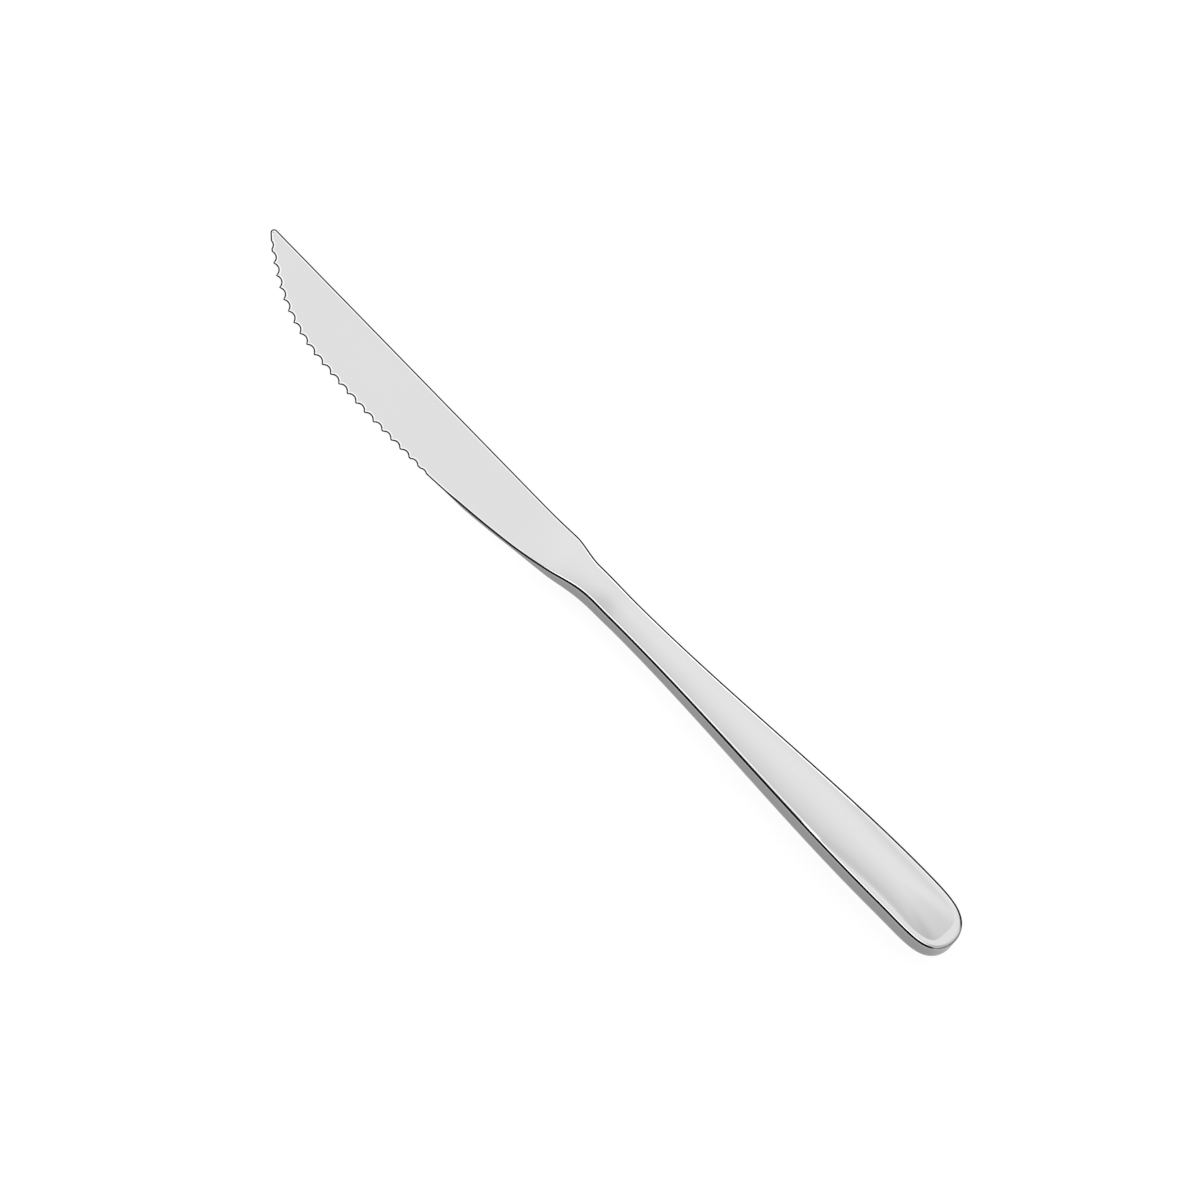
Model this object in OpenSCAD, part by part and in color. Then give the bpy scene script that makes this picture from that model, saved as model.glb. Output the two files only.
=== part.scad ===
// Steak knife with a hollow handle, lying on its side. All lengths are millimetres.
//
// The knife is drawn in a frame of its own: x runs along it, from the blade at -x to the
// butt at +x, with x = 0 where bolster and handle meet. The spine of the blade lies on
// y = 0, the cutting edge towards -y, and z = 0 is the middle of the thickness.
// laid() then sets it down as it lies on a table, on its bolster and its grip.

/* [Blade] */
// Length from the tip to the handle
blade_l = 121.7; // [114:0.1:130]
// Greatest width, from the spine to the cutting edge
blade_w = 15.8; // [14.8:0.1:16.8]
// Thickness of the flat stretch
blade_t = 1.5; // [1.2:0.1:2]
// Radius of the long belly of the cutting edge
belly_r = 272; // [252:4:320]
// Radius of the edge's rise to the tip
front_r = 48; // [45:1:54]
// Slope of the edge where the belly passes into the rise, in degrees
front_turn = 4.7; // [3.9:0.2:5.5]
// Radius of the rounded tip
nose_r = 0.9; // [0.7:0.1:1.4]

/* [Ground edge] */
// Width of the bevel ground on the lower face
bevel_w = 3.5; // [3:0.1:4.5]
// Thickness left along the ground edge
edge_t = 0.12; // [0.08:0.01:0.2]
// Plain sharp stretch behind the teeth
plain_l = 5; // [3:0.5:8]
// Length over which the bevel runs out towards the heel
runout_l = 14; // [10:1:16]

/* [Teeth] */
// Number of scallops
tooth_count = 23; // [16:1:23]
// Distance from one tooth to the next, along the edge
tooth_pitch = 2.98; // [2.6:0.02:3.1]
// Depth of the first full scallop
tooth_depth = 0.95; // [0.6:0.05:1.05]
// Plain edge between the tip and the first scallop
tip_plain_l = 1.4; // [0.6:0.1:2.2]

/* [Bolster] */
// Stretch of full thickness in front of the handle
bolster_l = 10; // [8:1:12]
// Length over which the blade thickens to the bolster
flare_l = 21; // [18:1:24]
// Greatest thickness, without its crowns
bolster_t = 6.6; // [6.2:0.1:7.2]
// Width at the start of that stretch
bolster_w = 7.8; // [7.4:0.1:8.4]
// Length of the step down from the spine
shoulder_l = 9; // [7:0.5:12]
// Distance from the step's end to the handle
shoulder_back = 12; // [10:0.5:14]
// Length over which the cutting edge draws in to the neck
heel_l = 17; // [14:1:20]
// Distance from the heel's end to the handle
heel_back = 3; // [2:0.5:5]

/* [Handle] */
// Length from the bolster to the butt
handle_l = 108; // [104:1:116]
// Width where the handle is slimmest, at the bolster
neck_w = 7.6; // [7:0.1:8.2]
// Thickness there, without the crowns
neck_t = 6.1; // [5.6:0.1:6.6]
// Height of the crown on each face of the neck
neck_crown = 0.25; // [0.15:0.05:0.4]
// Distance of the neck's middle below the spine line
neck_drop = 5; // [4.6:0.05:5.6]
// Rise of the handle's middle from the neck to the grip
grip_rise = 1.35; // [0.8:0.05:2]
// Length of the rounded butt behind the full width of the grip
butt_l = 20; // [16:1:23]
// Width of the grip
grip_w = 14; // [12.8:0.2:15]
// Thickness of the grip, without its panels
grip_t = 8; // [7.4:0.1:8.6]
// Amount that the middle of the butt leans towards the cutting edge
butt_lean = 0.6; // [0.2:0.1:1.2]

/* [Raised panel] */
// Height of the pillowed panel on each face of the grip
panel_crown = 0.6; // [0.4:0.05:0.8]
// Width of the flat rim beside the panel
rim_w = 1.5; // [1.1:0.1:1.8]
// Width of the flat rim at the butt
rim_end_w = 3; // [2.3:0.1:3.7]
// Width that is left of the rim along the neck
rim_least_w = 0.3; // [0.2:0.05:0.5]
// Length over which the rim widens, in front of the butt
rim_widen_l = 32; // [26:1:38]

/* [Inside the handle] */
// Sheet thickness of the two half shells
wall_t = 0.8; // [0.6:0.05:1]
// Length of the tenon that plugs the shells
tenon_l = 4; // [3:0.5:6]
// Gap round the tenon
tenon_gap = 0.05; // [0.03:0.01:0.1]
// Length of the tang behind the bolster
tang_l = 48; // [40:1:56]
// Width of the tang at the tenon
tang_w = 3.6; // [3:0.1:4.2]
// Width of the tang at its end
tang_end_w = 2.4; // [2:0.1:2.8]
// Thickness of the tang
tang_t = 2.6; // [2:0.1:3.2]
// Radius of the notches that key the tang in the cement
notch_r = 0.5; // [0.3:0.05:0.6]
// Depth of cement behind the end of the tang
cement_over = 8; // [5:1:12]
// Bonding gap round the cement
bond_gap = 0.03; // [0.02:0.01:0.06]

/* [Hidden] */

steel = [0.83, 0.84, 0.85];
cement_grey = [0.72, 0.70, 0.66];

// Overrun of every cut past the face that it opens
cut = 1;
// Overrun of the scallops' wheels past the edge and past the bevel
wheel_over = 3;
// Depth that the resting flats take off the two lowest crowns
rest_flat = 0.05;
// Powers of the butt's outline, along the knife and across it: 2 and 2 is an ellipse
butt_along = 5.5;
butt_across = 2;
// How late the butt's middle leans over, and both powers of the panel's outline
lean_late = 2;
panel_square = 4;
// Depths of the first and last scallops, from the tip and from the heel inwards
lead_in_shares = [0.4, 0.8];
run_out_shares = [0.5, 0.85];
// How much shallower all scallops have grown at the heel's end of the row
heel_tooth_share = 0.65;
// Places of the tang's notches along it
notch_shares = [0.35, 0.55, 0.75];
// Place along the grip of the spot that it rests on
rest_share = 0.86;
// Columns across a face, as shares of the panel's half width
column_shares = [1, 0.75, 0.5, 0.25, 0, -0.25, -0.5, -0.75, -1];
// Narrowest panel column and rim, as shares of the face's half width
least_share = 0.25;

// Centres of the three arcs that make the cutting edge
front_drop = (belly_r - front_r) * cos(front_turn);
front_cy = belly_r - blade_w - front_drop;
nose_turn = acos((front_cy + nose_r) / (front_r - nose_r));
nose_cx = nose_r - blade_l;
front_cx = nose_cx + (front_r - nose_r) * sin(nose_turn);
belly_cx = front_cx + (belly_r - front_r) * sin(front_turn);
belly_cy = belly_r - blade_w;
front_end_x = belly_cx - belly_r * sin(front_turn);
nose_end_x = nose_cx - nose_r * sin(nose_turn);

// Distance along the edge, from where rise and belly meet to where the tip's arc begins
nose_run = -(nose_turn - front_turn) * PI / 180 * front_r;
teeth_end_x = edge_at(nose_run + tip_plain_l + tooth_count * tooth_pitch)[0];
runout_x = teeth_end_x + plain_l;
bevel_slope = atan((blade_t - edge_t) / bevel_w);

flare_x = -bolster_l - flare_l;
grip_at = handle_l - butt_l;
rim_from = grip_at - rim_widen_l;
panel_end_x = handle_l - rim_end_w;
cement_end_x = tang_l + cement_over;

// The two spots that the knife rests on, and how far it tips to reach both
grip_rest_x = rest_share * grip_at;
bolster_rest_x = -bolster_l;
grip_rest_z = depth(grip_rest_x) - rest_flat;
bolster_rest_z = depth(bolster_rest_x) - rest_flat;
rest_tilt = atan((grip_rest_z - bolster_rest_z) / (grip_rest_x - bolster_rest_x));

function clamp01(s) = min(max(s, 0), 1);
function smooth(s) = let (c = clamp01(s)) c * c * (3 - 2 * c);
function mix(a, b, s) = a + (b - a) * s;
function steps(a, b, n) = [for (i = [1:n]) mix(a, b, i / n)];
// One quarter of a superellipse, from 1 at its middle to 0 at its end
function quarter(s, along, across) = pow(1 - pow(clamp01(s), along), 1 / across);

// How far the handle has grown from neck to grip, and the blade from flat to bolster
function swell(x) = smooth(x / grip_at);
function flare(x) = smooth((x - flare_x) / flare_l);
function butt_share(x) = clamp01((x - grip_at) / butt_l);
function panel_share(x) = clamp01((x - grip_at) / (panel_end_x - grip_at));

// The handle's middle line and half width
function handle_mid(x) =
    grip_rise * x / grip_at - neck_drop - butt_lean * pow(butt_share(x), lean_late);
function full_half_w(x) =
    x < 0 ? mix(bolster_w, neck_w, smooth(1 + x / bolster_l)) / 2
    : mix(neck_w, grip_w, swell(x)) / 2;
function handle_half_w(x) = full_half_w(x) * quarter(butt_share(x), butt_along, butt_across);

// The cutting edge as three arcs, by x and by the distance along it
function edge_arcs_y(x) =
    x < nose_end_x ? -nose_r - sqrt(pow(nose_r, 2) - pow(x - nose_cx, 2))
    : x < front_end_x ? front_cy - sqrt(pow(front_r, 2) - pow(x - front_cx, 2))
    : belly_cy - sqrt(pow(belly_r, 2) - pow(x - belly_cx, 2));
function edge_turn(run) = front_turn - run * 180 / PI / (run < 0 ? front_r : belly_r);
function edge_at(run) = let (a = edge_turn(run))
    run < 0 ? [front_cx - front_r * sin(a), front_cy - front_r * cos(a)]
    : [belly_cx - belly_r * sin(a), belly_cy - belly_r * cos(a)];

// The spine with its rounded end at the tip
function nose_top_y(x) =
    x < nose_cx ? sqrt(pow(nose_r, 2) - pow(x - nose_cx, 2)) - nose_r : 0;

// Both sides of the knife's outline, along its whole length
function spine_y(x) = mix(nose_top_y(x), handle_mid(x) + handle_half_w(x),
                          smooth((x + shoulder_back + shoulder_l) / shoulder_l));
function edge_y(x) = let (s = smooth((x + heel_back + heel_l) / heel_l))
    s < 1 ? mix(edge_arcs_y(x), handle_mid(x) - handle_half_w(x), s)
    : handle_mid(x) - handle_half_w(x);
function mid_y(x) = (spine_y(x) + edge_y(x)) / 2;
function half_w(x) = (spine_y(x) - edge_y(x)) / 2;

// Half the thickness at the rim, the crown above it, and the lowest point of a section
function half_t(x) =
    x < 0 ? mix(blade_t, mix(bolster_t, neck_t, smooth(1 + x / bolster_l)), flare(x)) / 2
    : mix(neck_t, grip_t, swell(x)) / 2;
function crown(x) = mix(neck_crown, panel_crown, swell(x)) * flare(x);
function depth(x) = half_t(x) + crown(x);

// The flat rim beside the crown, and the crown's own half width
function rim(x) = min(mix(rim_least_w, rim_w, smooth((x - rim_from) / rim_widen_l)),
                      least_share * half_w(x));
function panel_full_w(x) = (x < grip_at ? half_w(x) : full_half_w(x)) - rim(x);
function panel_half_w(x) =
    max(panel_full_w(x) * quarter(panel_share(x), panel_square, panel_square),
        least_share * half_w(x));

// Height of the upper face: flat at the rim, pillowed inside it
function pillow(x, y) =
    max(1 - pow(pow(abs(y - mid_y(x)) / panel_full_w(x), panel_square)
                + pow(panel_share(x), panel_square), 2 / panel_square), 0);
function face_z(x, y) = half_t(x) + crown(x) * pillow(x, y);

// The face's columns at one station, inset by gap on all sides, from spine to edge
function face_points(x, gap) =
    let (w = half_w(x) - gap, p = panel_half_w(x) * w / half_w(x),
         ys = concat([w], p * column_shares, [-w]))
    [for (v = ys) [x, mid_y(x) + v, face_z(x, mid_y(x) + v) - gap]];
function turned_over(points) =
    [for (i = [len(points) - 1:-1:0]) [points[i][0], points[i][1], -points[i][2]]];
// The upper half of a section down to a floor, and a whole section
function half_ring(x, gap, floor_z) =
    let (top = face_points(x, gap), last = top[len(top) - 1])
    concat([[x, top[0][1], floor_z]], top, [[x, last[1], floor_z]]);
function whole_ring(x, gap) =
    concat(half_ring(x, gap, 0), turned_over(face_points(x, gap)));

// Stations along the blade, the handle and its rounded butt
blade_stations = concat(
    [for (a = [10:10:90]) nose_cx - nose_r * cos(a)],
    steps(nose_cx, front_end_x, 14),
    steps(front_end_x, flare_x, 20),
    steps(flare_x, -bolster_l, 21),
    steps(-bolster_l, 0, 5));
grip_stations = concat([0], steps(0, grip_at, 36));
butt_turns = [each [6:6:84], 87.5];
function butt_stations(end_x) = [for (a = butt_turns) mix(grip_at, end_x, sin(a))];

// A closed skin over rings that all run the same way round
module loft(rings) {
    n = len(rings[0]);
    last = n * (len(rings) - 1);
    polyhedron(
        points = [for (ring = rings) each ring],
        faces = concat(
            [[for (j = [0:n - 1]) j]],
            [for (a = [0:n:last - n], j = [0:n - 1])
                [a + j, a + n + j, a + n + (j + 1) % n]],
            [for (a = [0:n:last - n], j = [0:n - 1])
                [a + j, a + n + (j + 1) % n, a + (j + 1) % n]],
            [[for (j = [n:-1:1]) last + j % n]]));
}

// Sets the knife down on the table, with the grip's resting spot at the origin
module laid() {
    rotate([0, -rest_tilt, 0])
        translate([-grip_rest_x, -handle_mid(grip_rest_x), grip_rest_z])
            children();
}

// All that would reach below the table top
module below_table() {
    translate([-blade_l - handle_l, -blade_w - grip_w, -cut])
        cube([2 * (blade_l + handle_l), 2 * (blade_w + grip_w), cut]);
}

// Wedge that grinds the bevel into the lower face and runs out at the heel
module bevel_grind() {
    xs = concat([-blade_l - cut],
                [for (x = blade_stations) if (x < runout_x + runout_l) x],
                [runout_x + runout_l]);
    wide = bevel_w + cut;
    loft([for (x = xs)
        let (y = edge_y(max(x, blade_stations[0])),
             lowering = (blade_t + cut) * clamp01((x - runout_x) / runout_l),
             z = blade_t / 2 - edge_t - lowering)
        [[x, y - cut, z - wide * tan(bevel_slope)],
         [x, y + wide, z - wide * tan(bevel_slope)],
         [x, y - cut, z + cut * tan(bevel_slope)]]]);
}

// Wheel marks that leave the teeth: each is a cylinder laid along the bevel's slope
module scallops() {
    bite = tooth_depth * sin(bevel_slope);
    wheel_r = (pow(tooth_pitch / 2, 2) + pow(bite, 2)) / (2 * bite);
    reach = (bevel_w + tooth_depth) / cos(bevel_slope);
    for (i = [0:tooth_count - 1]) {
        back = tooth_count - 1 - i;
        share = i < len(lead_in_shares) ? lead_in_shares[i]
            : back < len(run_out_shares) ? run_out_shares[back] : 1;
        depth_share = share * mix(1, heel_tooth_share, i / (tooth_count - 1));
        run = nose_run + tip_plain_l + (i + 0.5) * tooth_pitch;
        off = wheel_r - depth_share * bite - edge_t * cos(bevel_slope);
        translate([edge_at(run)[0], edge_at(run)[1], blade_t / 2 - edge_t])
            rotate([0, 0, -edge_turn(run)])
                rotate([-90 - bevel_slope, 0, 0])
                    translate([0, off, -wheel_over])
                        cylinder(r = wheel_r, h = reach + 2 * wheel_over, $fn = 96);
    }
}

// Tang with its keying notches, grown by a gap on all sides
module tang(grow) {
    half = [tang_w / 2 + grow, tang_end_w / 2 + grow];
    end_x = tang_l + grow;
    linear_extrude(height = tang_t + 2 * grow, center = true)
        difference() {
            polygon([
                [0, handle_mid(0) - half[0]], [end_x, handle_mid(end_x) - half[1]],
                [end_x, handle_mid(end_x) + half[1]], [0, handle_mid(0) + half[0]]]);
            for (s = notch_shares, side = [-1, 1])
                translate([s * tang_l,
                           handle_mid(s * tang_l) + side * mix(half[0], half[1], s)])
                    circle(r = notch_r - grow, $fn = 32);
        }
}

// One half of the handle, with its rim on the seam at z = 0
module half_shell() {
    difference() {
        loft([for (x = concat(grip_stations, butt_stations(handle_l)))
            half_ring(x, 0, 0)]);
        loft([for (x = concat([-cut], grip_stations, butt_stations(handle_l - wall_t)))
            half_ring(x, wall_t, -cut)]);
    }
}

module blade() {
    color(steel)
    difference() {
        laid() {
            difference() {
                loft([for (x = blade_stations) whole_ring(x, 0)]);
                bevel_grind();
                scallops();
            }
            loft([for (x = [-tenon_l, 0, tenon_l]) whole_ring(x, wall_t + tenon_gap)]);
            tang(0);
        }
        below_table();
    }
}

module handle_shell_upper() {
    color(steel)
    laid() half_shell();
}

module handle_shell_lower() {
    color(steel)
    difference() {
        laid() mirror([0, 0, 1]) half_shell();
        below_table();
    }
}

module tang_cement() {
    xs = [for (x = grip_stations) if (x > tenon_l && x < cement_end_x) x];
    color(cement_grey)
    laid()
        difference() {
            loft([for (x = concat([tenon_l], xs, [cement_end_x]))
                whole_ring(x, wall_t + bond_gap)]);
            tang(bond_gap);
        }
}

blade();
handle_shell_upper();
handle_shell_lower();
tang_cement();
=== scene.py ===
"""A steak knife with a hollow steel handle, lying on a pale table under soft studio light.

Sizes are millimetres in the knife's own frame, the one that its solids are drawn in: x runs
from the tip at -x to the butt at +x, with x = 0 where bolster and handle meet, the spine lies
on y = 0, the cutting edge is towards -y, and z = 0 is the middle of the thickness. laid()
turns that frame into the row's frame, in metres.
"""
import math

import bmesh
import bpy
import numpy as np
from mathutils import Matrix, Vector


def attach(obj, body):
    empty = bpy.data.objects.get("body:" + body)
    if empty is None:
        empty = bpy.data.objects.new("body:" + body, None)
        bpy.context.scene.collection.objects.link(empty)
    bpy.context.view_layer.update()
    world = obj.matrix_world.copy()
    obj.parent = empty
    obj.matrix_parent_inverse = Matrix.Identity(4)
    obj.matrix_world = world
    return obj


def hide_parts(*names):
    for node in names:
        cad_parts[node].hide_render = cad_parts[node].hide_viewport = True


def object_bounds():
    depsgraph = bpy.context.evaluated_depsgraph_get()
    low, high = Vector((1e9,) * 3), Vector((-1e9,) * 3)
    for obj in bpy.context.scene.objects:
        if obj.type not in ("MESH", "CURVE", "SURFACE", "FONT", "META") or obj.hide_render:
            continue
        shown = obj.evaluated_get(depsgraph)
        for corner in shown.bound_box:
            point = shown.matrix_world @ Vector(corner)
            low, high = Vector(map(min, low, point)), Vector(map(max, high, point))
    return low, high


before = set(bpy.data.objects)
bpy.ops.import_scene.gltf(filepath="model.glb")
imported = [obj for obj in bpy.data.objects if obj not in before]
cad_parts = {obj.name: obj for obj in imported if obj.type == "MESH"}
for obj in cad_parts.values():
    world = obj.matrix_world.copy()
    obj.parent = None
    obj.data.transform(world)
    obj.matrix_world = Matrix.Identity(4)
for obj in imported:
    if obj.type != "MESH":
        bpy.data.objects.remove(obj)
cad_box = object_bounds()

# The knife's sizes, as its solids have them
blade_l, blade_w, blade_t = 121.7, 15.8, 1.5
belly_r, front_r, front_turn, nose_r = 272, 48, math.radians(4.7), 0.9
bevel_w, edge_t, plain_l, runout_l = 3.5, 0.12, 5, 14
tooth_count, tooth_pitch, tooth_depth, tip_plain_l = 23, 2.98, 0.95, 1.4
lead_in_shares, run_out_shares, heel_tooth_share = [0.4, 0.8], [0.5, 0.85], 0.65
bolster_l, flare_l, bolster_t, bolster_w = 10, 21, 6.6, 7.8
shoulder_l, shoulder_back, heel_l, heel_back = 9, 12, 17, 3
handle_l, neck_w, neck_t, neck_crown, neck_drop = 108, 7.6, 6.1, 0.25, 5
grip_rise, butt_l, grip_w, grip_t, butt_lean, lean_late = 1.35, 20, 14, 8, 0.6, 2
butt_along, butt_across, panel_square = 5.5, 2, 4
panel_crown, rim_w, rim_end_w, rim_least_w, rim_widen_l = 0.6, 1.5, 3, 0.3, 32
wall_t, tenon_l, tenon_gap = 0.8, 4, 0.05
tang_l, tang_w, tang_end_w, tang_t, notch_r = 48, 3.6, 2.4, 2.6, 0.5
notch_shares, rest_share, rest_flat, least_share = [0.35, 0.55, 0.75], 0.86, 0.05, 0.25

grip_at = handle_l - butt_l
rim_from = grip_at - rim_widen_l
flare_x = -bolster_l - flare_l
panel_end_x = handle_l - rim_end_w

# The softened arrises: how far they reach down a flank and across a face, each with a share
# of the half thickness on top, and how much of the flanks' satin colour, with its painted shade,
# their foot and the top of a flank take
arris_least, arris_share, across_least, across_share = 0.2, 0.08, 0.68, 0.065
arris_satin_shade, flank_top_satin_shade = 0.72, 0.82
# The painted dark line along an arris, a dark reflection painted into the colour, which widens
# with the half thickness, and the painted highlight beside it: widths along the spine, the lower
# side and the teeth
line_w_shares = 0.045, 0.01
spine_line_w, side_line_w, tooth_line_w = 0.34, 0.40, 0.30
spine_painted_highlight_w, tooth_painted_highlight_w, blend_w = 0.25, 0.30, 0.04
side_painted_highlight_w, grip_painted_highlight_more, heel_painted_highlight_more = 0.16, 0.08, 0.11
# Where the painted dark line starts on an arris, in degrees up from its flank, and how far it
# fades in
side_foot, spine_foot, tooth_foot, foot_fade = 8, -10, -10, 10
# How much the painted dark line fades at the butt, and the shares of a turn to the butt's end
# over which it fades (from the lower side's start or the spine's) and over which the painted
# highlight dims
butt_fade, fade_from, fade_run, dim_from, dim_run = 0.8, (0.5, 0.72), 0.2, 0.2, 0.4
# The fall of the strip honed along the teeth, and the thickness left at the very edge
hone_fall, land_t = 0.35, 0.01
# Shares of a face at which its first rings lie, close to the bend that they start from
near_bend = np.array([0.004, 0.02, 0.06])
across_face = [*near_bend, *np.linspace(0.1, 0.9, 17), *(1 - near_bend[::-1])]

# Centres of the arcs of the cutting edge
front_cy = belly_r - blade_w - (belly_r - front_r) * math.cos(front_turn)
nose_turn = math.acos((front_cy + nose_r) / (front_r - nose_r))
nose_cx = nose_r - blade_l
front_cx = nose_cx + (front_r - nose_r) * math.sin(nose_turn)
belly_cx = front_cx + (belly_r - front_r) * math.sin(front_turn)
belly_cy = belly_r - blade_w
front_end_x = belly_cx - belly_r * math.sin(front_turn)
nose_end_x = nose_cx - nose_r * math.sin(nose_turn)
nose_run = -(nose_turn - front_turn) * front_r


def smooth(s):
    c = np.clip(s, 0, 1)
    return c * c * (3 - 2 * c)


def mix(a, b, s):
    return a + (b - a) * s


def root(v):
    return np.sqrt(np.maximum(v, 0))


def swell(x):
    return smooth(x / grip_at)


def flare(x):
    return smooth((x - flare_x) / flare_l)


def butt_share(x):
    return np.clip((x - grip_at) / butt_l, 0, 1)


def panel_share(x):
    return np.clip((x - grip_at) / (panel_end_x - grip_at), 0, 1)


def handle_mid(x):
    return grip_rise * x / grip_at - neck_drop - butt_lean * butt_share(x) ** lean_late


def full_half_w(x):
    ahead = mix(bolster_w, neck_w, smooth(1 + x / bolster_l))
    return np.where(x < 0, ahead, mix(neck_w, grip_w, swell(x))) / 2


def handle_half_w(x):
    return full_half_w(x) * (1 - butt_share(x) ** butt_along) ** (1 / butt_across)


def edge_arcs_y(x):
    nose = -nose_r - root(nose_r**2 - (x - nose_cx) ** 2)
    front = front_cy - root(front_r**2 - (x - front_cx) ** 2)
    belly = belly_cy - root(belly_r**2 - (x - belly_cx) ** 2)
    return np.where(x < nose_end_x, nose, np.where(x < front_end_x, front, belly))


def edge_x(run):
    """x of the cutting edge at a distance along it, measured from where rise and belly meet."""
    turn = front_turn - run / np.where(run < 0, front_r, belly_r)
    return np.where(run < 0, front_cx - front_r * np.sin(turn), belly_cx - belly_r * np.sin(turn))


def spine_y(x):
    tip = np.where(x < nose_cx, root(nose_r**2 - (x - nose_cx) ** 2) - nose_r, 0)
    step = smooth((x + shoulder_back + shoulder_l) / shoulder_l)
    return mix(tip, handle_mid(x) + handle_half_w(x), step)


def edge_y(x):
    drawn_in = smooth((x + heel_back + heel_l) / heel_l)
    return mix(edge_arcs_y(x), handle_mid(x) - handle_half_w(x), drawn_in)


def mid_y(x):
    return (spine_y(x) + edge_y(x)) / 2


def half_w(x):
    return (spine_y(x) - edge_y(x)) / 2


def half_t(x):
    ahead = mix(blade_t, mix(bolster_t, neck_t, smooth(1 + x / bolster_l)), flare(x))
    return np.where(x < 0, ahead, mix(neck_t, grip_t, swell(x))) / 2


def crown(x):
    return mix(neck_crown, panel_crown, swell(x)) * flare(x)


def rim(x):
    wide = mix(rim_least_w, rim_w, smooth((x - rim_from) / rim_widen_l))
    return np.minimum(wide, least_share * half_w(x))


def panel_full_w(x):
    return np.where(x < grip_at, half_w(x), full_half_w(x)) - rim(x)


def panel_reach(x, y):
    """How far out a point lies on the panel, squared: 0 in its middle, 1 on its border."""
    across = np.abs(y - mid_y(x)) / panel_full_w(x)
    return (across**panel_square + panel_share(x) ** panel_square) ** (2 / panel_square)


def face_z(x, y):
    """Height of the upper face: flat at the rim, a parabola across the panel inside it."""
    return half_t(x) + crown(x) * np.maximum(1 - panel_reach(x, y), 0)


def arris_drop(x):
    return arris_share * half_t(x) + arris_least


def arris_across(x):
    return across_share * half_t(x) + across_least


def spine_line(x):
    return line_w_shares[0] * half_t(x) + spine_line_w


def side_line(x):
    return line_w_shares[1] * half_t(x) + side_line_w


def side_painted_highlight(x):
    return side_painted_highlight_w + grip_painted_highlight_more * swell(x) + heel_painted_highlight_more * (1 - flare(x))


def arris_rings(reach, line_w, painted_highlight_w, foot):
    """Rings over an arris that reaches across its face, from the flank to the face: how far
    each has turned, how dark the painted dark line is there and how bright the painted highlight
    beside the line."""
    end = np.arccos(1 - line_w / reach)
    rings = []
    for share in (0, 0.12, 0.25, 0.4, 0.55, 0.7, 0.85, 1):
        rings.append((end * share, smooth((np.degrees(end * share) - foot) / foot_fade), 0))
    for off, glint in ((blend_w / 2, 1), (painted_highlight_w, 1), (painted_highlight_w + blend_w, 0)):
        rings.append((np.arccos(np.maximum(1 - (line_w + off) / reach, 0)), 0, glint))
    last = rings[-1][0]
    return rings + [(mix(last, np.pi / 2, share), 0, 0) for share in (0.5, 1)]


grip_rest_x = rest_share * grip_at
grip_rest_z = float(half_t(grip_rest_x) + crown(grip_rest_x)) - rest_flat
bolster_rest_z = float(half_t(-bolster_l) + crown(-bolster_l)) - rest_flat
rest_tilt = math.atan((grip_rest_z - bolster_rest_z) / (grip_rest_x + bolster_l))
laid_turn = np.array(Matrix.Rotation(-rest_tilt, 3, "Y"))
laid_shift = np.array([-grip_rest_x, -float(handle_mid(grip_rest_x)), grip_rest_z])


def laid(points):
    """Sets points of the knife's frame down on the table, in metres, within the solids' box."""
    placed = (points + laid_shift) @ laid_turn.T / 1000
    return np.clip(placed, np.array(cad_box[0]), np.array(cad_box[1]))


# Points closer than seam_gap (metres) are one, and bends above sharp_bend stay sharp
seam_gap, no_length, sharp_bend = 2e-7, 1e-8, math.radians(14)


def grid_faces(rows, columns, first=0, around=False):
    """Quads between the neighbouring rows of a grid of points."""
    across = columns if around else columns - 1
    i, j = np.meshgrid(np.arange(rows - 1), np.arange(across), indexing="ij")
    a = first + i * columns + j
    b = first + i * columns + (j + 1) % columns
    return np.stack([a, b, b + columns, a + columns], -1).reshape(-1, 4).tolist()


def make_piece(name, points, faces, **paint):
    """A closed mesh from grids whose seams and poles are merged, faces outwards."""
    mesh = bpy.data.meshes.new(name)
    mesh.from_pydata(laid(points).tolist(), [], faces)
    for kind, values in paint.items():
        mesh.attributes.new(kind, "FLOAT", "POINT").data.foreach_set("value", values.ravel())
    made = bmesh.new()
    made.from_mesh(mesh)
    bmesh.ops.remove_doubles(made, verts=made.verts, dist=seam_gap)
    bmesh.ops.dissolve_degenerate(made, edges=made.edges, dist=no_length)
    bmesh.ops.recalc_face_normals(made, faces=made.faces)
    made.to_mesh(mesh)
    open_edges = sum(not e.is_manifold for e in made.edges)
    made.free()
    print(name, len(mesh.polygons), "faces,", open_edges, "open edges")
    mesh.polygons.foreach_set("use_smooth", np.ones(len(mesh.polygons), bool))
    mesh.set_sharp_from_angle(angle=sharp_bend)
    piece = bpy.data.objects.new(name, mesh)
    bpy.context.collection.objects.link(piece)
    return piece


def butt_outline(count):
    """Half of the butt's outline in plan, (w/W)^butt_across + (x/L)^butt_along = 1, in even
    steps along it."""
    turn = np.pi / 2 * np.linspace(0, 1, 4000) ** 2
    x = grip_at + butt_l * np.sin(turn) ** (2 / butt_along)
    w = grip_w / 2 * np.cos(turn) ** (2 / butt_across)
    along = np.concatenate([[0], np.cumsum(np.hypot(np.diff(x), np.diff(w)))])
    even = np.linspace(0, along[-1], count)
    return np.interp(even, along, x), np.interp(even, along, w)


# Points along a half shell's long side and round half of its butt, the halvings that find the
# panel's border, and how far past the arris that border stays at least
side_points, butt_points, halvings, past_share = 121, 56, 40, 1.04


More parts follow.
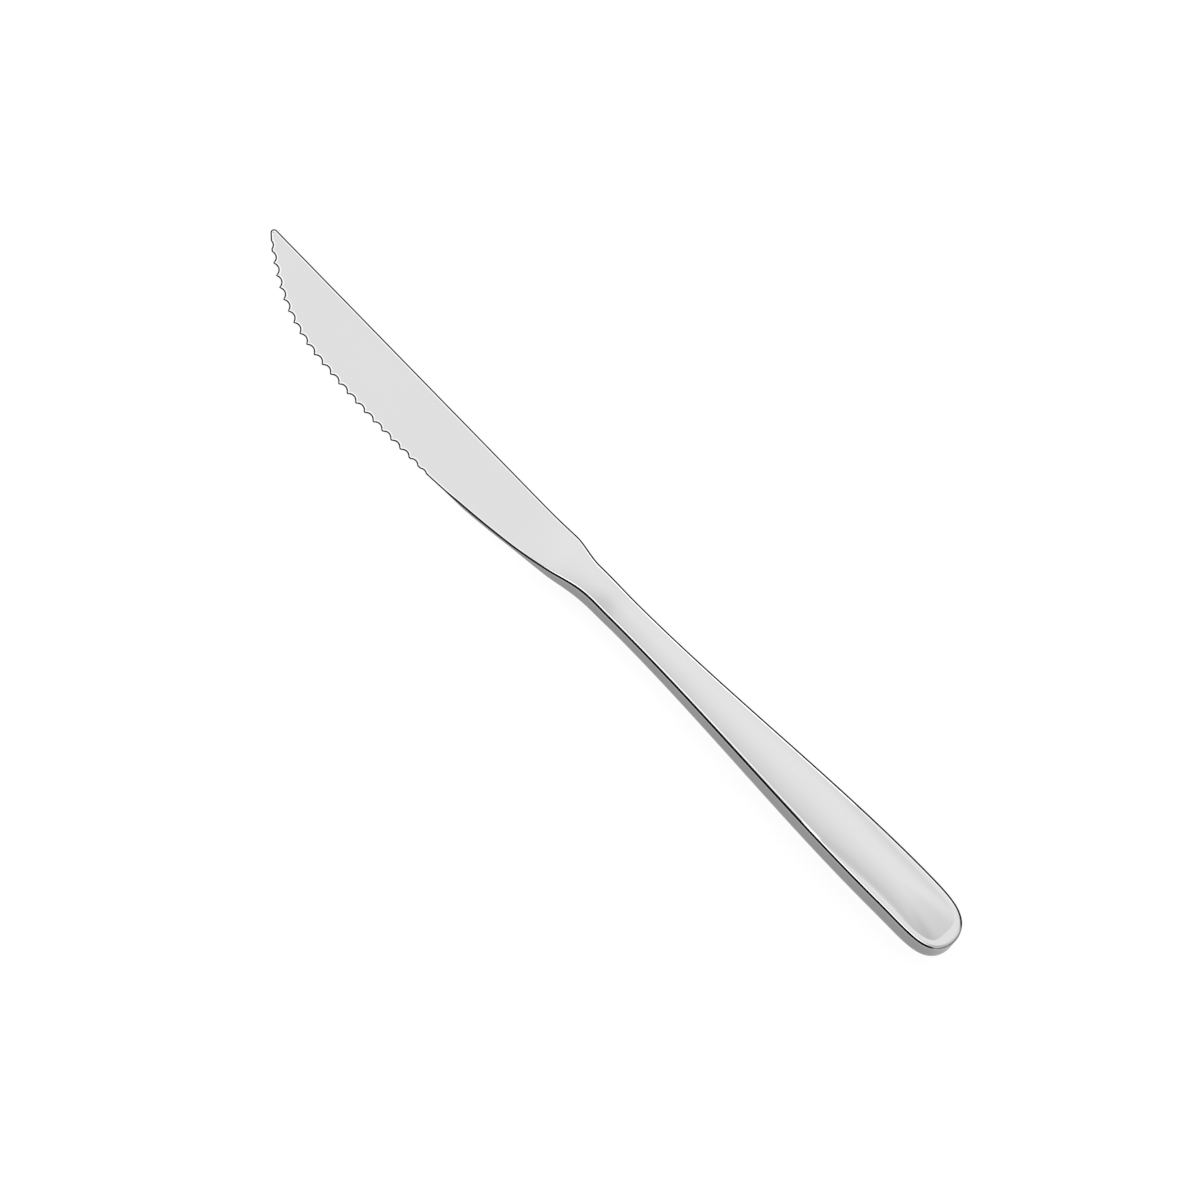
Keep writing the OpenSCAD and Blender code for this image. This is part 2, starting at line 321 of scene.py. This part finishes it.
def handle_half(name, side):
    """One half shell. u runs along the outline from the bolster round the butt and back,
    v from the seam up the flank, over the arris and across the rim and panel to the middle
    line. On the arris the height is face_z less b (1 - sin v), at a (1 - cos v) inside the
    outline: a quarter of an ellipse."""
    straight = np.linspace(0, grip_at, side_points)[:-1]
    butt_x, butt_w = butt_outline(butt_points)
    x = np.concatenate([straight, butt_x, butt_x[-2::-1], straight[::-1]])
    w = np.concatenate([handle_half_w(straight), butt_w, -butt_w[-2::-1],
                        -handle_half_w(straight[::-1])])
    y = handle_mid(x) + w
    core_x = np.minimum(x, grip_at)
    core_y = handle_mid(core_x)

    slope = np.stack([np.gradient(x), np.gradient(y)])
    inward = np.stack([slope[1], -slope[0]]) / np.hypot(*slope)
    inward[:, 0], inward[:, -1] = (0, -1), (0, 1)

    # The share of the way from outline to core at which the panel's border is crossed
    low, high = np.zeros_like(x), np.ones_like(x)
    for _ in range(halvings):
        share = (low + high) / 2
        outside = panel_reach(mix(x, core_x, share), mix(y, core_y, share)) > 1
        low, high = np.where(outside, share, low), np.where(outside, high, share)
    down, across = arris_drop(x), arris_across(x)
    past_arris = past_share * across / np.hypot(core_x - x, core_y - y)
    border = np.maximum(low, past_arris)
    border_x, border_y = mix(x, core_x, border), mix(y, core_y, border)

    px, py, pz, flanks, lines, painted_highlights = [], [], [], [], [], []

    def level(at_x, at_y, z, flank=0, line=0, glint=0):
        px.append(at_x), py.append(at_y), pz.append(z)
        flanks.append(flank + 0 * x), lines.append(line + 0 * x), painted_highlights.append(glint + 0 * x)

    # The painted dark line starts higher up on the lower side. Towards the very butt, where
    # inward turns to -x, the painted dark line and the painted highlight fade.
    to_spine = smooth(0.5 - inward[1])
    foot = mix(side_foot, spine_foot, to_spine)
    line_w = mix(side_line(x), spine_line(x), to_spine)
    painted_highlight_w = mix(side_painted_highlight(x), spine_painted_highlight_w, to_spine)
    faded = 1 - butt_fade * smooth((-inward[0] - mix(*fade_from, to_spine)) / fade_run)
    dimmed = 1 - smooth((-inward[0] - dim_from) / dim_run)
    top = face_z(x, y)
    # The flank takes the satin colour with its painted shade, a little less of it at the top,
    # which shows as a lighter strip
    for share, flank in ((0, 1), (0.3, 1), (0.75, 1), (0.9, flank_top_satin_shade)):
        level(x, y, (top - down) * share, flank)
    for turn, line, glint in arris_rings(across, line_w, painted_highlight_w, foot):
        off = across * (1 - np.cos(turn))
        at_x, at_y = x + inward[0] * off, y + inward[1] * off
        level(at_x, at_y, face_z(at_x, at_y) - down * (1 - np.sin(turn)),
              arris_satin_shade * np.cos(turn) ** 2, faded * line, dimmed * glint)
    last_x, last_y = px[-1], py[-1]
    for share in [*near_bend * 3, 0.5, 0.9, 0.99, 1]:
        at_x, at_y = mix(last_x, border_x, share), mix(last_y, border_y, share)
        level(at_x, at_y, face_z(at_x, at_y))
    for share in [*near_bend, *np.linspace(0.1, 1, 20)]:
        at_x, at_y = mix(border_x, core_x, share), mix(border_y, core_y, share)
        level(at_x, at_y, face_z(at_x, at_y))
    outer = np.stack([px, py, pz], -1).swapaxes(0, 1)

    # The cavity: the same levels, a wall's thickness further in
    levels = outer.shape[1]
    inset_x, inset_y = x + inward[0] * wall_t, y + inward[1] * wall_t
    rise = np.linspace(0, 1, levels)
    up, inwards = np.clip(rise * 2, 0, 1), np.clip(rise * 2 - 1, 0, 1)
    cave_x = mix(inset_x[:, None], core_x[:, None], inwards)
    cave_y = mix(inset_y[:, None], core_y[:, None], inwards)
    cave_z = (face_z(cave_x, cave_y) - wall_t) * up
    inner = np.stack([cave_x, cave_y, cave_z], -1)

    rows, columns = outer.shape[:2]
    count = rows * columns
    faces = grid_faces(rows, columns) + grid_faces(rows, columns, count)
    u = np.arange(rows - 1) * columns
    faces += np.stack([u, u + columns, u + columns + count, u + count], -1).tolist()
    for row in (0, rows - 1):
        v = row * columns + np.arange(columns - 1)
        faces += np.stack([v, v + 1, v + 1 + count, v + count], -1).tolist()
    points = np.concatenate([outer.reshape(-1, 3), inner.reshape(-1, 3)])
    points[:, 2] *= side
    hidden = np.zeros(count)
    # flank carries the flanks' painted shade, arris the painted dark line, the third the painted
    # highlight
    return make_piece(name, points, faces,
                      flank=np.concatenate([np.array(flanks).T.ravel(), hidden + 1]),
                      arris=np.concatenate([np.array(lines).T.ravel(), hidden]),
                      glint=np.concatenate([np.array(painted_highlights).T.ravel(), hidden]))


# Heights that stand for no hollow and for no bevel, and a step for slopes, all in millimetres
no_hollow, far_below, fine = -9.0, -99.0, 1e-4
# How far the rings beside a hollow spread at most, and the arris under the teeth as a share of
# the one above
most_spread, under_share = 1.5, 0.3
# The least reach of the bevel in shares of arris and chord, and its greatest one of the chord
least_shares, most_share = (0.35, 0.02), 0.9
# Chords along each tooth, the plain tip, the heel, the bolster and the rounding of the tip,
# where they run to this share of the way to its end
tooth_steps, plain_steps, heel_points, bolster_points = 16, 8, 30, 63
tip_rings, tip_end_share = 14, 0.97


def forged_blade(name):
    """Blade and bolster as one skin over chords that run square from the cutting edge to the
    spine. The upper face is flat but for a narrow strip honed along the teeth. The lower one
    rises to the bevel, z = edge - slope * (y - edge's y), and to the hollow of each tooth, a
    wheel of radius R laid along the bevel, which bites R - root(R^2 - u^2) less at u beside its
    middle. Where both faces meet is the edge."""
    bevel_slope = math.atan((blade_t - edge_t) / bevel_w)
    bite = tooth_depth * math.sin(bevel_slope)
    wheel_r = ((tooth_pitch / 2) ** 2 + bite**2) / (2 * bite)
    start = nose_run + tip_plain_l
    teeth_run = start + np.arange(tooth_count * tooth_steps + 1) * tooth_pitch / tooth_steps
    teeth_end_x = float(edge_x(teeth_run[-1]))
    runout_x = teeth_end_x + plain_l
    x = np.concatenate([edge_x(np.linspace(nose_run, start, plain_steps + 1)[:-1]),
                        edge_x(teeth_run),
                        np.linspace(teeth_end_x, flare_x, heel_points)[1:],
                        np.linspace(flare_x, 0, bolster_points)[1:]])
    y = edge_y(x)
    fall = (edge_y(x + fine) - edge_y(np.maximum(x - fine, nose_end_x))) / (2 * fine)
    inward = np.stack([-fall, 1 + 0 * fall]) / np.hypot(fall, 1)
    shift = y * fall * (1 - smooth((x - flare_x) / bolster_l))
    far_x = x + shift
    far_y = spine_y(far_x)
    ahead = (spine_y(far_x + fine) - spine_y(far_x - fine)) / (2 * fine)
    far_in = np.stack([ahead, -1 + 0 * ahead]) / np.hypot(ahead, 1)

    # How much each tooth's hollow lifts the lower face at the edge
    tooth = np.clip(((teeth_run - start) / tooth_pitch).astype(int), 0, tooth_count - 1)
    aside = teeth_run - start - (tooth + 0.5) * tooth_pitch
    shares = np.ones(tooth_count)
    shares[:len(lead_in_shares)] = lead_in_shares
    shares[-len(run_out_shares):] = run_out_shares[::-1]
    shares *= mix(1, heel_tooth_share, np.arange(tooth_count) / (tooth_count - 1))
    hollow = np.full(len(x), no_hollow)
    sag = wheel_r - np.sqrt(wheel_r**2 - aside**2)
    toothed = slice(plain_steps, plain_steps + len(teeth_run))
    hollow[toothed] = (shares[tooth] * bite - sag) / math.cos(bevel_slope)

    # The rounded tip: both ends of the chord run round it until they nearly meet
    part = np.linspace(0, tip_end_share, tip_rings + 1)[1:]
    middle = (nose_turn + np.pi) / 2
    turn = mix(nose_turn, middle, part)
    flat = far_x[0] - nose_cx
    path = part * (flat + nose_r * (np.pi - middle))
    arc = np.pi - np.maximum(path - flat, 0) / nose_r
    tip = np.stack([nose_cx - nose_r * np.sin(turn), -nose_r - nose_r * np.cos(turn)])
    tip_far = np.stack([np.where(path < flat, far_x[0] - path, nose_cx - nose_r * np.sin(arc)),
                        -nose_r - nose_r * np.cos(arc)])
    tip_in = np.stack([np.sin(turn), np.cos(turn)])
    tip_far_in = np.stack([np.sin(arc), np.cos(arc)])

    def with_tip(at_tip, rest):
        return np.concatenate([at_tip[..., ::-1], rest], -1)

    near = with_tip(tip, np.stack([x, y]))
    far = with_tip(tip_far, np.stack([far_x, far_y]))
    near_in, far_in = with_tip(tip_in, inward), with_tip(tip_far_in, far_in)
    hollow = with_tip(np.full(tip_rings, no_hollow), hollow)
    chord = np.hypot(*(far - near))
    opened = smooth((near[0] - runout_x) / plain_l)
    rise = math.tan(bevel_slope)
    recess = np.maximum(hollow, 0) / rise
    # Beside a hollow the rings are spread, so that the painted lines stay as wide as elsewhere
    steep = np.gradient(recess) / np.hypot(*np.gradient(near, axis=1))
    spread = np.minimum(np.hypot(1, steep), most_spread)
    near_w = arris_across(near[0])
    near_drop = mix(tooth_line_w * hone_fall, arris_drop(near[0]), opened)
    far_w, far_drop = arris_across(far[0]), arris_drop(far[0])

    # How far the honed strip lowers the very edge, and how far the bevel drops as it runs out
    sunk = (1 - opened) * near_drop + land_t

    def lowering(at_x):
        return (blade_t + 1) * np.clip((at_x - runout_x) / runout_l, 0, 1)

    def low_z(px, py, w, drop):
        """Height of the lower face, the highest of flat, bevel and hollow."""
        behind = py - edge_y(np.maximum(px, nose_cx - nose_r))
        bevel = blade_t / 2 - edge_t - lowering(px) - rise * behind
        bevel = np.where(px > runout_x + runout_l, far_below, bevel)
        scoop = blade_t / 2 + hollow - sunk - rise * w
        scoop = np.where(hollow > no_hollow, scoop, far_below)
        return np.minimum(np.maximum.reduce([drop - face_z(px, py), bevel, scoop]),
                          face_z(px, py) - drop)

    # How far the bevel or a hollow reaches along each chord
    ground = np.where(near[0] < runout_x + runout_l, 1.0, 0.0)
    left = blade_t - edge_t - lowering(near[0])
    bevel_reach = np.maximum(left, np.where(hollow > no_hollow, blade_t + hollow - sunk, 0))
    bevel_reach = ground * bevel_reach / rise * np.cos(np.arctan2(near_in[0], near_in[1]))
    least_reach = recess + least_shares[0] * near_w + least_shares[1] * chord
    bevel_reach = np.clip(bevel_reach, least_reach, most_share * chord)

    px, py, pz, flanks, lines, painted_highlights = [], [], [], [], [], []

    def level(at, z, flank=0, line=0, glint=0):
        px.append(at[0]), py.append(at[1]), pz.append(z)
        for kept, value in ((flanks, flank), (lines, line), (painted_highlights, glint)):
            kept.append(value + 0 * chord)

    # The rings of spine and edge carry the painted dark line and the painted highlight beside it
    far_rings = arris_rings(far_w, spine_line(far[0]), spine_painted_highlight_w, spine_foot)
    near_line = mix(tooth_line_w, side_line(near[0]), opened)
    near_painted_highlight = mix(tooth_painted_highlight_w, side_painted_highlight(near[0]), opened)
    near_rings = arris_rings(near_w, near_line, near_painted_highlight, mix(tooth_foot, side_foot, opened))
    far_top = far + far_in * far_w
    near_top = near + near_in * (recess + spread * near_w)
    # Spine flank from the middle up, the arris, the upper face and the arris of the edge
    top_z = face_z(*far) - far_drop
    foot_z = np.minimum(low_z(*far, chord, far_drop), top_z)
    for share in (0.5, 0.75, 0.9):
        level(far, mix(foot_z, top_z, share), 1)
    for turn, line, glint in far_rings:
        at = far + far_in * (far_w * (1 - np.cos(turn)))
        level(at, face_z(*at) - far_drop * (1 - np.sin(turn)), np.cos(turn) ** 2, line, glint)
    for share in across_face:
        at = mix(far_top, near_top, share)
        level(at, face_z(*at))
    for turn, line, glint in near_rings[::-1]:
        off = near_w * (1 - np.cos(turn))
        at = near + near_in * (recess + spread * off)
        drop = near_drop * mix(np.maximum(1 - off / tooth_line_w, 0), 1 - np.sin(turn), opened)
        level(at, face_z(*at) - drop, arris_satin_shade * opened * np.cos(turn) ** 2, line, glint)
    # Edge flank, then the lower arris, the bevel and the lower face
    edge_at = near + near_in * recess
    edge_top = face_z(*edge_at) - near_drop
    edge_low = np.minimum(low_z(*edge_at, recess, opened * near_drop), edge_top - land_t)
    # Along the teeth, where the edge stays closed, the edge flank is painted wholly with the dark
    # line, a painted dark reflection; elsewhere it takes the flanks' painted shade
    for share, flank in ((0.05, flank_top_satin_shade), (0.2, 1), (0.6, 1), (0.9, 1)):
        level(edge_at, mix(edge_top, edge_low, share), flank * opened, 1 - opened)
    under_w = mix(under_share, 1, opened) * near_w
    for turn, line, _ in near_rings:
        w = recess + under_w * (1 - np.cos(turn))
        at = near + near_in * w
        low = low_z(*at, w, opened * near_drop * (1 - np.sin(turn)))
        level(at, np.minimum(low, edge_top - land_t), opened * np.cos(turn) ** 2, opened * line)
    bevel_end = near + near_in * bevel_reach
    for share in (0.02, 0.2, 0.4, 0.6, 0.8, 0.97, 1):
        w = mix(recess + under_w, bevel_reach, share)
        at = near + near_in * w
        level(at, low_z(*at, w, 0))
    for share in across_face:
        at = mix(bevel_end, far_top, share)
        level(at, low_z(*at, np.hypot(*(at - near)), 0))
    for turn, line, glint in far_rings[::-1]:
        at = far + far_in * (far_w * (1 - np.cos(turn)))
        low = low_z(*at, np.hypot(*(at - near)), far_drop * (1 - np.sin(turn)))
        level(at, low, np.cos(turn) ** 2, line, glint)
    for share in (0.1, 0.25):
        level(far, mix(foot_z, top_z, share), 1)

    points = np.stack([px, py, pz], -1).swapaxes(0, 1)
    rows, columns = points.shape[:2]
    faces = grid_faces(rows, columns, around=True)
    faces += [list(range(columns)), list(range((rows - 1) * columns, rows * columns))]
    # As on the handle, the attributes carry the painted shade, the painted dark line and the
    # painted highlight
    return make_piece(name, points.reshape(-1, 3), faces, flank=np.array(flanks).T,
                      arris=np.array(lines).T, glint=np.array(painted_highlights).T)


def tang_and_tenon(name):
    """The hidden tail of the forging: a plug that fills the handle's mouth, section by section
    a wall's thickness inside it, and a flat tang with round notches in both sides."""
    inset = wall_t + tenon_gap
    x = np.array([0, tenon_l])[:, None]
    across = np.array([1, 0.75, 0.5, 0.25, 0, -0.25, -0.5, -0.75, -1])
    y = mid_y(x) + (half_w(x) - inset) * across
    z = face_z(x, y) - inset
    x = x + 0 * y
    ring = np.concatenate([np.stack([x, y, z], -1), np.stack([x, y, -z], -1)[:, ::-1]], 1)
    columns = ring.shape[1]
    points = [ring.reshape(-1, 3)]
    faces = grid_faces(2, columns, around=True)
    faces += [list(range(columns)), list(range(columns, 2 * columns))]

    at = np.array(notch_shares)[:, None] * tang_l
    turn = np.radians(np.linspace(0, 180, 13))
    side_x = np.concatenate([[0], (at - notch_r * np.cos(turn)).ravel(), [tang_l]])
    bite = np.concatenate([[0], (0 * at + notch_r * np.sin(turn)).ravel(), [0]])
    half = mix(tang_w, tang_end_w, side_x / tang_l) / 2 - bite
    outline_x = np.concatenate([side_x, side_x[::-1]])
    outline_y = handle_mid(outline_x) + np.concatenate([half, -half[::-1]])
    plate = [np.stack([outline_x, outline_y, z + 0 * outline_x], -1)
             for z in (-tang_t / 2, tang_t / 2)]
    first, columns = len(points[0]), len(outline_x)
    points.append(np.concatenate(plate))
    faces += grid_faces(2, columns, first, around=True)
    faces += [list(range(first, first + columns)),
              list(range(first + columns, first + 2 * columns))]
    points = np.concatenate(points)
    return make_piece(name, points, faces, flank=np.ones(len(points)))


class Value:
    """A socket whose number can be used in sums: +, * and / add Math nodes."""

    def __init__(self, nodes, socket):
        self.nodes, self.socket = nodes, socket

    def math(self, operation, first, second=0.0):
        return self.nodes.add("ShaderNodeMath", {"operation": operation}, {0: first, 1: second})

    def __add__(self, other):
        return self.math("ADD", self, other)

    def __mul__(self, other):
        return self.math("MULTIPLY", self, other)

    def __truediv__(self, other):
        return self.math("DIVIDE", self, other)

    __radd__, __rmul__ = __add__, __mul__


class Nodes:
    """The node tree of a material or of the world."""

    def __init__(self, holder):
        holder.use_nodes = True
        self.tree = holder.node_tree
        self.tree.nodes.clear()

    def add(self, kind, settings=None, values=None, out=0):
        """A node of a kind, with its settings, then the values or links of its sockets."""
        node = self.tree.nodes.new(kind)
        for name, setting in (settings or {}).items():
            if name == "stops":
                ramp = node.color_ramp.elements
                while len(ramp) < len(setting):
                    ramp.new(1.0)
                for stop, (place, tone) in zip(ramp, setting):
                    stop.position, stop.color = place, grey(tone)
            else:
                setattr(node, name, setting)
        for name, value in (values or {}).items():
            if isinstance(value, Value):
                self.tree.links.new(value.socket, node.inputs[name])
            else:
                node.inputs[name].default_value = value
        return Value(self, node.outputs[out]) if len(node.outputs) else None

    def mix_colours(self, share, first, second):
        return self.add("ShaderNodeMix", {"data_type": "RGBA"},
                        {0: share, 6: first, 7: second}, out=2)

    def finish(self, shader, kind="ShaderNodeOutputMaterial"):
        self.add(kind, None, {"Surface": shader})


def grey(tone):
    return (tone, tone, tone, 1)


def polished_steel(name, tone, satin, line):
    """Mirror-bright steel with faint buffing lines along the knife. Its flanks are satin, and
    their colour is darkened by painted shade. A painted dark line, a dark reflection painted into
    the colour, with a painted highlight beside it runs along each arris."""
    material = bpy.data.materials.new(name)
    nodes = Nodes(material)
    place = nodes.add("ShaderNodeTexCoord", out="Object")
    # Buffing lines are far longer along the knife (x) than they are wide
    lines = nodes.add("ShaderNodeMapping", None, {"Vector": place, "Scale": (40, 2600, 2600)})
    buffing = nodes.add("ShaderNodeTexNoise", None, {
        "Vector": lines, "Scale": 1.0, "Detail": 3.0})
    patches = nodes.add("ShaderNodeTexNoise", None, {
        "Vector": place, "Scale": 60.0, "Detail": 2.0})
    flank = nodes.add("ShaderNodeAttribute", {"attribute_name": "flank"}, out="Fac")
    arris = nodes.add("ShaderNodeAttribute", {"attribute_name": "arris"}, out="Fac")
    glint = nodes.add("ShaderNodeAttribute", {"attribute_name": "glint"}, out="Fac")
    bright = nodes.mix_colours(patches, grey(tone - 0.01), grey(tone + 0.01))
    shaded_satin = nodes.mix_colours(buffing, grey(satin - 0.02), grey(satin + 0.02))
    # The flanks: satin steel whose colour is darkened by painted shade, far below the faces'
    colour = nodes.mix_colours(flank, bright, shaded_satin)
    # Painted highlight: the colour turns white beside each arris line
    colour = nodes.mix_colours(glint, colour, grey(1))
    # Painted dark line along each arris: a dark reflection painted nearly black into the colour
    colour = nodes.mix_colours(arris, colour, grey(line))
    rough = 0.10 + patches * 0.04 + buffing * 0.03 + flank * 0.16
    bump = nodes.add("ShaderNodeBump", None, {
        "Strength": 0.05, "Distance": 0.00002, "Height": buffing})
    shader = nodes.add("ShaderNodeBsdfPrincipled", None, {
        "Base Color": colour, "Metallic": 1.0, "Roughness": rough, "Normal": bump})
    nodes.finish(shader)
    return material


def set_cement(name):
    """Grainy grey-white cement with darker specks and small pits."""
    material = bpy.data.materials.new(name)
    nodes = Nodes(material)
    place = nodes.add("ShaderNodeTexCoord", out="Object")
    grain = nodes.add("ShaderNodeTexNoise", None, {
        "Vector": place, "Scale": 1500.0, "Detail": 4.0})
    cells = nodes.add("ShaderNodeTexVoronoi", None, {"Vector": place, "Scale": 2500.0})
    colour = nodes.mix_colours(grain, (0.42, 0.40, 0.36, 1), (0.78, 0.75, 0.70, 1))
    bump = nodes.add("ShaderNodeBump", None, {
        "Strength": 0.4, "Distance": 0.0001, "Height": grain + cells})
    shader = nodes.add("ShaderNodeBsdfPrincipled", None, {
        "Base Color": colour, "Roughness": 0.85 + grain * 0.1, "Normal": bump})
    nodes.finish(shader)
    return material


blade = forged_blade("blade_forging")
tang = tang_and_tenon("tang_and_tenon")
upper = handle_half("handle_half_upper", 1)
lower = handle_half("handle_half_lower", -1)

# The third tone is the flanks' satin colour, darkened by painted shade; the fourth is the
# near-black of the painted dark line
blade_tone, handle_tone, satin_shade_tone, painted_line_tone = 0.768, 0.775, 0.198, 0.006
blade_steel = polished_steel("blade_steel_finish", blade_tone, satin_shade_tone, painted_line_tone)
handle_steel = polished_steel("handle_steel_finish", handle_tone, satin_shade_tone, painted_line_tone)
for piece, finish, slot, nodes_replaced in (
        (blade, blade_steel, "blade_steel", ["blade"]),
        (tang, blade_steel, "blade_steel", ["blade"]),
        (upper, handle_steel, "handle_steel", ["handle_shell_upper"]),
        (lower, handle_steel, "handle_steel", ["handle_shell_lower"])):
    piece.data.materials.append(finish)
    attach(piece, "root")
    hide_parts(*nodes_replaced)
cement = set_cement("set_cement_finish")
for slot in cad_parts["tang_cement"].material_slots:
    slot.material = cement

# The table, which shows white to the camera and in the steel but keeps the knife's shadow
table_mesh = bpy.data.meshes.new("table_top")
table_reach, table_glow, glow_share = 8.0, 1.15, 0.75
corners = [(-table_reach, -table_reach, 0), (table_reach, -table_reach, 0),
           (table_reach, table_reach, 0), (-table_reach, table_reach, 0)]
table_mesh.from_pydata(corners, [], [(0, 1, 2, 3)])
table_top = bpy.data.objects.new("table_top", table_mesh)
bpy.context.collection.objects.link(table_top)
white = bpy.data.materials.new("white_table")
nodes = Nodes(white)
rays = [nodes.add("ShaderNodeLightPath", out=name) for name in (
    "Is Camera Ray", "Is Glossy Ray", "Is Transmission Ray")]
seen = nodes.add("ShaderNodeMath", {"operation": "MAXIMUM"}, {0: rays[0], 1: rays[1]})
seen = nodes.add("ShaderNodeMath", {"operation": "MAXIMUM"}, {0: seen, 1: rays[2]})
cloud = nodes.add("ShaderNodeTexNoise", None, {
    "Vector": nodes.add("ShaderNodeTexCoord", out="Object"), "Scale": 5.0})
pale = nodes.mix_colours(cloud, grey(0.93), grey(0.95))
matt = nodes.add("ShaderNodeBsdfDiffuse", None, {"Color": pale})
glow = nodes.add("ShaderNodeEmission", None, {"Color": grey(1), "Strength": table_glow})
nodes.finish(nodes.add("ShaderNodeMixShader", None, {0: seen * glow_share, 1: matt, 2: glow}))
table_mesh.materials.append(white)

# The studio: its tone in a direction goes by the degrees that the direction leans over to the
# cutting-edge side (lean_tones, or end_tones where it points towards the butt), and further
# along the knife by how far it runs along it, 0 across and 1 along (run_tones). end_shade is
# what the panel's end, which turns to the butt most, is darker by.
world = bpy.data.worlds.new("studio")
bpy.context.scene.world = world
nodes = Nodes(world)
brightest, studio_level, end_shade = 1.5, 1.07, 0.09
spine_tones = [(-92, 0.45), (-60, 0.38), (-57, 1.3), (-44, 1.3)]
edge_tones = [(8.5, 1.35), (23, 1.35), (25, 0.30), (60, 0.32), (92, 0.45)]
lean_tones = [*spine_tones, (-42.5, 0.74), (-36, 0.85), (-30, 0.93), (-20, 0.93), (-13, 0.89),
              (-8, 0.85), (-2, 0.79), (1, 0.71), (7.5, 0.60), *edge_tones]
end_tones = [*spine_tones, (-42.5, 0.70), (-36, 0.80), (-30, 0.88), (-22, 0.88), (-17, 0.81),
             (-13, 0.72), (-10, 0.60), (-4, 0.56), (1, 0.53), (7.5, 0.48), *edge_tones]
run_tones = [(0, 0.93), (0.48, 0.93), (0.5, 1.3), (0.56, 1.3), (0.6, 0.38), (1, 0.45)]


def tone_ramp(place, stops):
    stops = [(at, tone / brightest) for at, tone in stops]
    return nodes.add("ShaderNodeValToRGB", {"stops": stops}, {0: place})


direction = nodes.add("ShaderNodeTexCoord", out="Generated")
axes = [nodes.add("ShaderNodeSeparateXYZ", None, {0: direction}, out=i) for i in range(3)]
angle = nodes.add("ShaderNodeMath", {"operation": "ARCTAN2"}, {0: axes[1] * -1, 1: axes[2]})
lean = angle / (2 * math.pi) + 0.5
run = nodes.add("ShaderNodeMath", {"operation": "ABSOLUTE"}, {0: axes[0]})


def between(value, low, high):
    return nodes.add("ShaderNodeMapRange", {"interpolation_type": "SMOOTHSTEP"}, {
        "Value": value, "From Min": low, "From Max": high})


def by_lean(stops):
    return tone_ramp(lean, [((degrees + 180) / 360, tone) for degrees, tone in stops])


to_butt = between(axes[0], -0.01, 0.045)
tones = nodes.mix_colours(to_butt, by_lean(lean_tones), by_lean(end_tones))
tones = nodes.mix_colours(between(axes[0], 0.045, 0.1) * end_shade, tones, grey(0))
tones = nodes.mix_colours(between(run, 0.4, 0.48), tones, tone_ramp(run, run_tones))
seen = nodes.add("ShaderNodeLightPath", out="Is Camera Ray")
tones = nodes.mix_colours(seen, tones, grey(1 / brightest))
studio = nodes.add("ShaderNodeBackground", None, {
    "Color": tones, "Strength": brightest * studio_level})
nodes.finish(studio, "ShaderNodeOutputWorld")

# The camera stands 16.5 degrees off the face towards the cutting edge and 2.8 towards the
# butt, with a very long lens. The knife's length falls to the right across the frame, and the
# frame's middle lies aim_along and aim_across (millimetres) off the knife's own origin.
off_face, off_butt, knife_fall = (math.radians(turned) for turned in (16.5, 2.8, 45.71))
knife_mm, knife_px, aim_along, aim_across = 230, 988.2, -6.6, -6.1
frame_px, lens, sensor = 1200, 600, 36
px_size = knife_mm / knife_px * math.cos(off_butt)
across_knife = np.array([0, math.cos(off_face), math.sin(off_face)])
towards = np.array([math.sin(off_butt), -math.sin(off_face) * math.cos(off_butt),
                    math.cos(off_face) * math.cos(off_butt)])
along_knife = np.cross(across_knife, towards)
right = math.cos(knife_fall) * along_knife + math.sin(knife_fall) * across_knife
up = -math.sin(knife_fall) * along_knife + math.cos(knife_fall) * across_knife
aim = aim_along * along_knife + aim_across * across_knife
distance = frame_px * px_size / 2 / (sensor / 2 / lens)
turn = np.stack([laid_turn @ v for v in (right, up, towards)], 1)
spot = laid_turn @ (aim + towards * distance + laid_shift) / 1000
camera = bpy.data.objects.new("camera", bpy.data.cameras.new("camera"))
bpy.context.collection.objects.link(camera)
camera.data.lens, camera.data.sensor_width = lens, sensor
camera.data.clip_start, camera.data.clip_end = 0.05, 60
camera.matrix_world = Matrix.Translation(Vector(spot)) @ Matrix(turn.tolist()).to_4x4()
bpy.context.scene.camera = camera
bpy.context.scene.view_settings.view_transform = "Standard"
